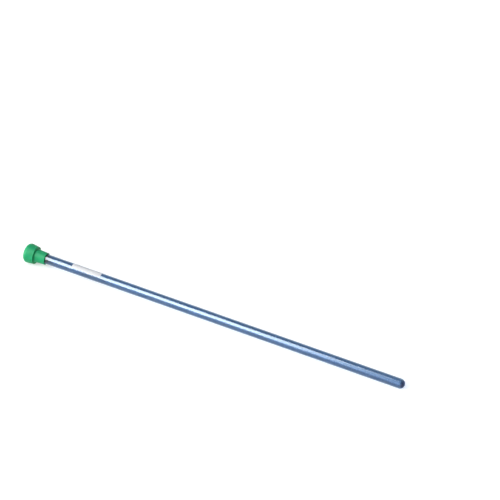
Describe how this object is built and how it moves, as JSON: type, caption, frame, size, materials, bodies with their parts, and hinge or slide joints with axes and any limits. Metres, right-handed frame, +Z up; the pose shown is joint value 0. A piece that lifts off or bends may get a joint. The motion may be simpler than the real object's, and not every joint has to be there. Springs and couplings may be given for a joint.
{
  "type": "nmr tube",
  "caption": "Long thin-walled glass sample tube with a round closed end, a white marking patch and a push-on plastic cap, lying on its side.",
  "frame": {"origin": "on the surface the tube lies on, under the middle of its length and width", "axes": "+X from the cap to the round closed end, +Z up; the tube's own axis drops by 0.69 degrees towards +X, because the head of the cap is wider than the glass"},
  "size_m": [0.2048, 0.0098, 0.0098],
  "materials": {
    "glass": "borosilicate glass with a slate-blue cast, deeper at its thick round end, fire-polished",
    "enamel": "matte white fired enamel that takes a pencil",
    "polyethylene": "moulded green polyethylene, satin and slightly translucent"
  },
  "bodies": {
    "tube": {"glass_tube": "glass", "marking_patch": "enamel"},
    "cap": {"cap": "polyethylene"}
  },
  "joints": [
    {"name": "cap_pull", "type": "slide", "parent": "tube", "child": "cap", "axis": [-0.9999, 0, 0.012], "range_m": [0, 0.03]}
  ]
}
